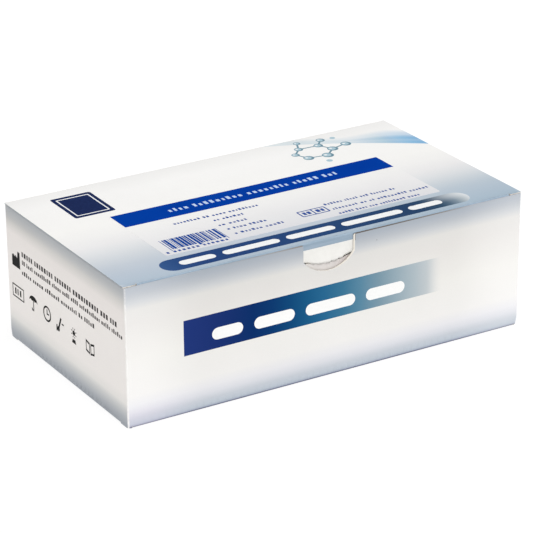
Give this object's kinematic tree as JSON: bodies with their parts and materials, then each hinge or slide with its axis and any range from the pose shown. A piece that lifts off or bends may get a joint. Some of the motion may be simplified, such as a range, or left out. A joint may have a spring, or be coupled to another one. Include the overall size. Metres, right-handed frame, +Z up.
{
  "type": "folding carton",
  "caption": "Long low paperboard carton with a hinged tuck-in lid, a thumb notch in the front panel, dust flaps, an interlocked bottom and a label on the lid.",
  "frame": {"origin": "middle of the footprint, on the surface the carton stands on", "axes": "+X along the length, to the right as seen from the front; -Y towards the front panel with the thumb notch, +Y towards the hinge crease; +Z up"},
  "size_m": [0.22, 0.122, 0.0706],
  "materials": {
    "body_board": "satin",
    "lid_board": "satin",
    "label_paper": "satin"
  },
  "bodies": {
    "carton": {"carton_body": "body_board"},
    "lid": {"lid": "lid_board", "lid_label": "label_paper"}
  },
  "joints": [
    {"name": "lid_hinge", "type": "hinge", "parent": "carton", "child": "lid", "pos_m": [0, 0.06075, 0.07025], "axis": [-1, 0, 0], "range_deg": [0, 180]}
  ]
}
